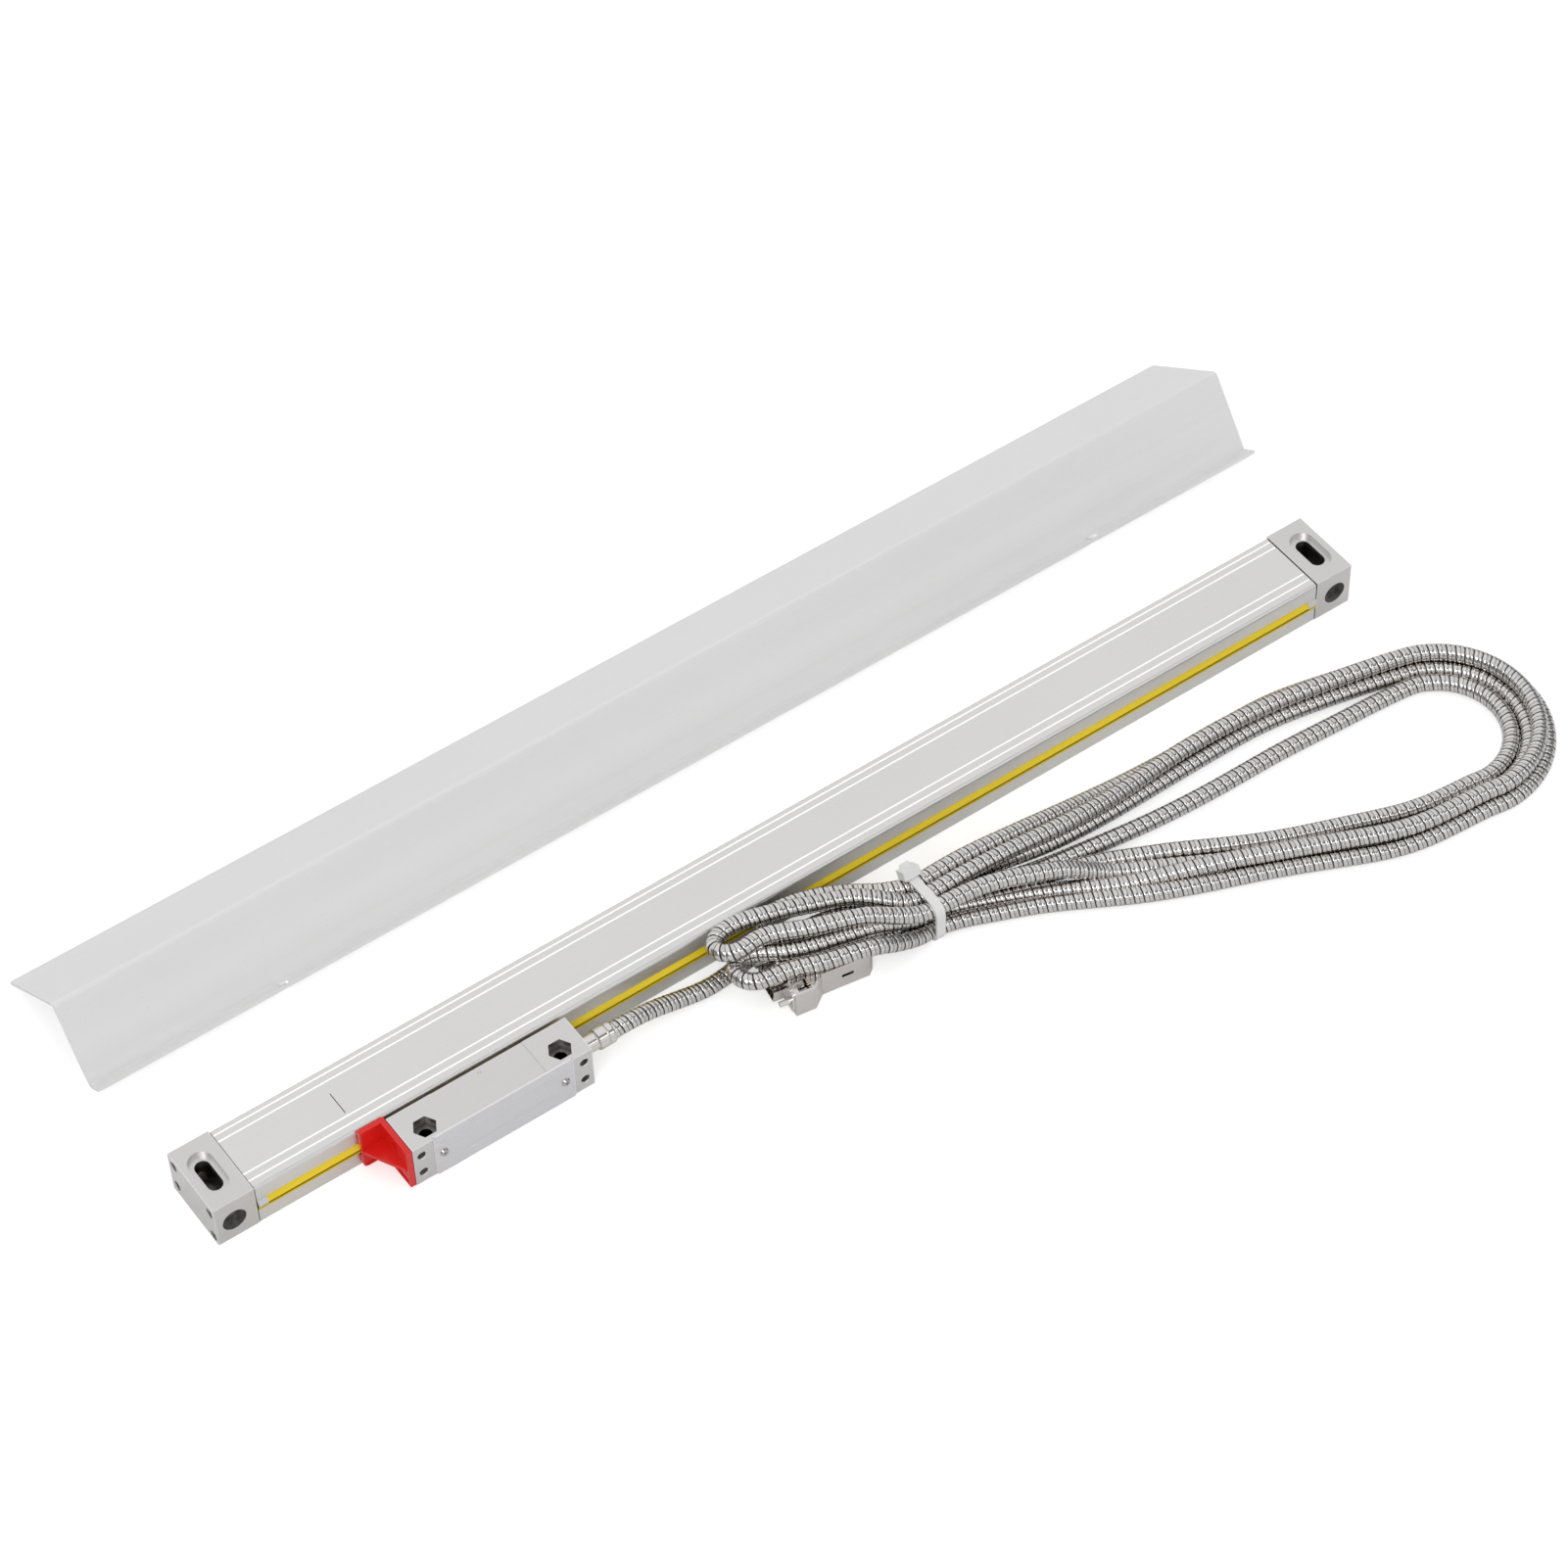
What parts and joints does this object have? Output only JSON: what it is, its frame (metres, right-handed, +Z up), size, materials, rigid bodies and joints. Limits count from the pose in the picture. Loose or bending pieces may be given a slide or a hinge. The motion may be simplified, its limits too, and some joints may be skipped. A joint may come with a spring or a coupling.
{
  "type": "linear glass scale",
  "caption": "Enclosed linear glass scale with a reading head that slides along its slot, an armoured cable tied in loops with a plug, a transport bracket and a loose splash guard.",
  "frame": {"origin": "middle of the face that the scale lies on, below the middle of its length and width", "axes": "+X along the scale from the transport bracket's end to the other end, -Y out of the slot towards the reading head, +Z up from the resting face"},
  "size_m": [0.6748, 0.3314, 0.0352],
  "materials": {
    "housing": "satin anodised extrusion",
    "block": "fine milled, clear anodised",
    "head": "fine milled, clear anodised",
    "front_plate": "fine brushed sheet, anodised",
    "dark_steel": "blackened steel",
    "bright_steel": "polished steel",
    "arm_steel": "ground sheet steel",
    "gasket": "matt black sheet",
    "lip": "smooth yellow polyurethane",
    "glass": "clear polished strip",
    "bond": "cured sealant",
    "track": "thin bright layer",
    "carriage": "black anodised",
    "board": "coated circuit board",
    "lamp": "clear white",
    "bracket": "moulded, smooth",
    "nickel": "nickel plated",
    "hose": "envelope of the steel hose",
    "nylon": "natural nylon",
    "insulator": "black moulding",
    "pins": "gold flashed",
    "hood": "die casting, nickel plated",
    "guard": "clear anodised sheet"
  },
  "bodies": {
    "scale": {"housing": "housing", "left_end_block": "block", "right_end_block": "block", "left_end_screws": "dark_steel", "right_end_screws": "dark_steel", "left_gasket": "gasket", "right_gasket": "gasket", "upper_lip": "lip", "lower_lip": "lip", "left_slot_plug": "block", "right_slot_plug": "block", "glass_scale": "glass", "glass_bond": "bond", "grating_track": "track"},
    "reading_head": {"head_body": "head", "front_plate": "front_plate", "plate_screws": "bright_steel", "reader_arm": "arm_steel", "arm_screws": "dark_steel", "head_board": "board", "carriage": "carriage", "roller_pins": "bright_steel", "scanning_reticle": "glass", "lamp": "lamp", "sensor_board": "board", "coupling_wire": "bright_steel", "cable_ferrule": "nickel", "cable_lead": "hose", "cable_tail": "hose", "cable_loops": "hose", "cable_folds": "hose", "cable_tie": "nylon", "plug_shell": "nickel", "plug_insulator": "insulator", "plug_pins": "pins", "hood_cover": "hood", "hood_base": "hood", "hood_screws": "bright_steel", "plug_bushing": "nickel"},
    "face_roller_left": {"face_roller_left": "bright_steel"},
    "face_roller_right": {"face_roller_right": "bright_steel"},
    "edge_roller_left": {"edge_roller_left": "bright_steel"},
    "edge_roller_right": {"edge_roller_right": "bright_steel"},
    "transport_bracket": {"transport_bracket": "bracket"},
    "thumb_screw_front": {"thumb_screw_front": "nickel"},
    "thumb_screw_back": {"thumb_screw_back": "nickel"},
    "splash_guard": {"splash_guard": "guard"}
  },
  "joints": [
    {"name": "head_slide", "type": "slide", "parent": "scale", "child": "reading_head", "axis": [1, 0, 0], "range_m": [-0.065, 0.435]},
    {"name": "face_roller_left_spin", "type": "hinge", "parent": "reading_head", "child": "face_roller_left", "pos_m": [-0.207, 0.0075, 0.01923], "axis": [0, 1, 0], "range_deg": [-1700, 11400]},
    {"name": "face_roller_right_spin", "type": "hinge", "parent": "reading_head", "child": "face_roller_right", "pos_m": [-0.163, 0.0075, 0.01923], "axis": [0, 1, 0], "range_deg": [-1700, 11400]},
    {"name": "edge_roller_left_spin", "type": "hinge", "parent": "reading_head", "child": "edge_roller_left", "pos_m": [-0.207, -0.00173, 0.0155], "axis": [0, 0, 1], "range_deg": [-1700, 11400]},
    {"name": "edge_roller_right_spin", "type": "hinge", "parent": "reading_head", "child": "edge_roller_right", "pos_m": [-0.163, -0.00173, 0.0155], "axis": [0, 0, 1], "range_deg": [-1700, 11400]},
    {"name": "thumb_screw_front_turn", "type": "hinge", "parent": "reading_head", "child": "thumb_screw_front", "pos_m": [-0.04296, -0.06285, 0.00775], "axis": [0.9877, -0.1564, 0], "continuous": true},
    {"name": "thumb_screw_back_turn", "type": "hinge", "parent": "reading_head", "child": "thumb_screw_back", "pos_m": [-0.03905, -0.03815, 0.00775], "axis": [0.9877, -0.1564, 0], "continuous": true},
    {"name": "bracket_removal", "type": "slide", "parent": "reading_head", "child": "transport_bracket", "axis": [0, -1, 0], "range_m": [0, 0.04]},
    {"name": "guard_lift", "type": "slide", "parent": "scale", "child": "splash_guard", "axis": [0, 0, 1], "range_m": [0, 0.1]}
  ],
  "couplings": [
    {"joint": "face_roller_left_spin", "follows": "head_slide", "rad_per_m": 454.55},
    {"joint": "face_roller_right_spin", "follows": "head_slide", "rad_per_m": 454.55},
    {"joint": "edge_roller_left_spin", "follows": "head_slide", "rad_per_m": 454.55},
    {"joint": "edge_roller_right_spin", "follows": "head_slide", "rad_per_m": 454.55}
  ]
}
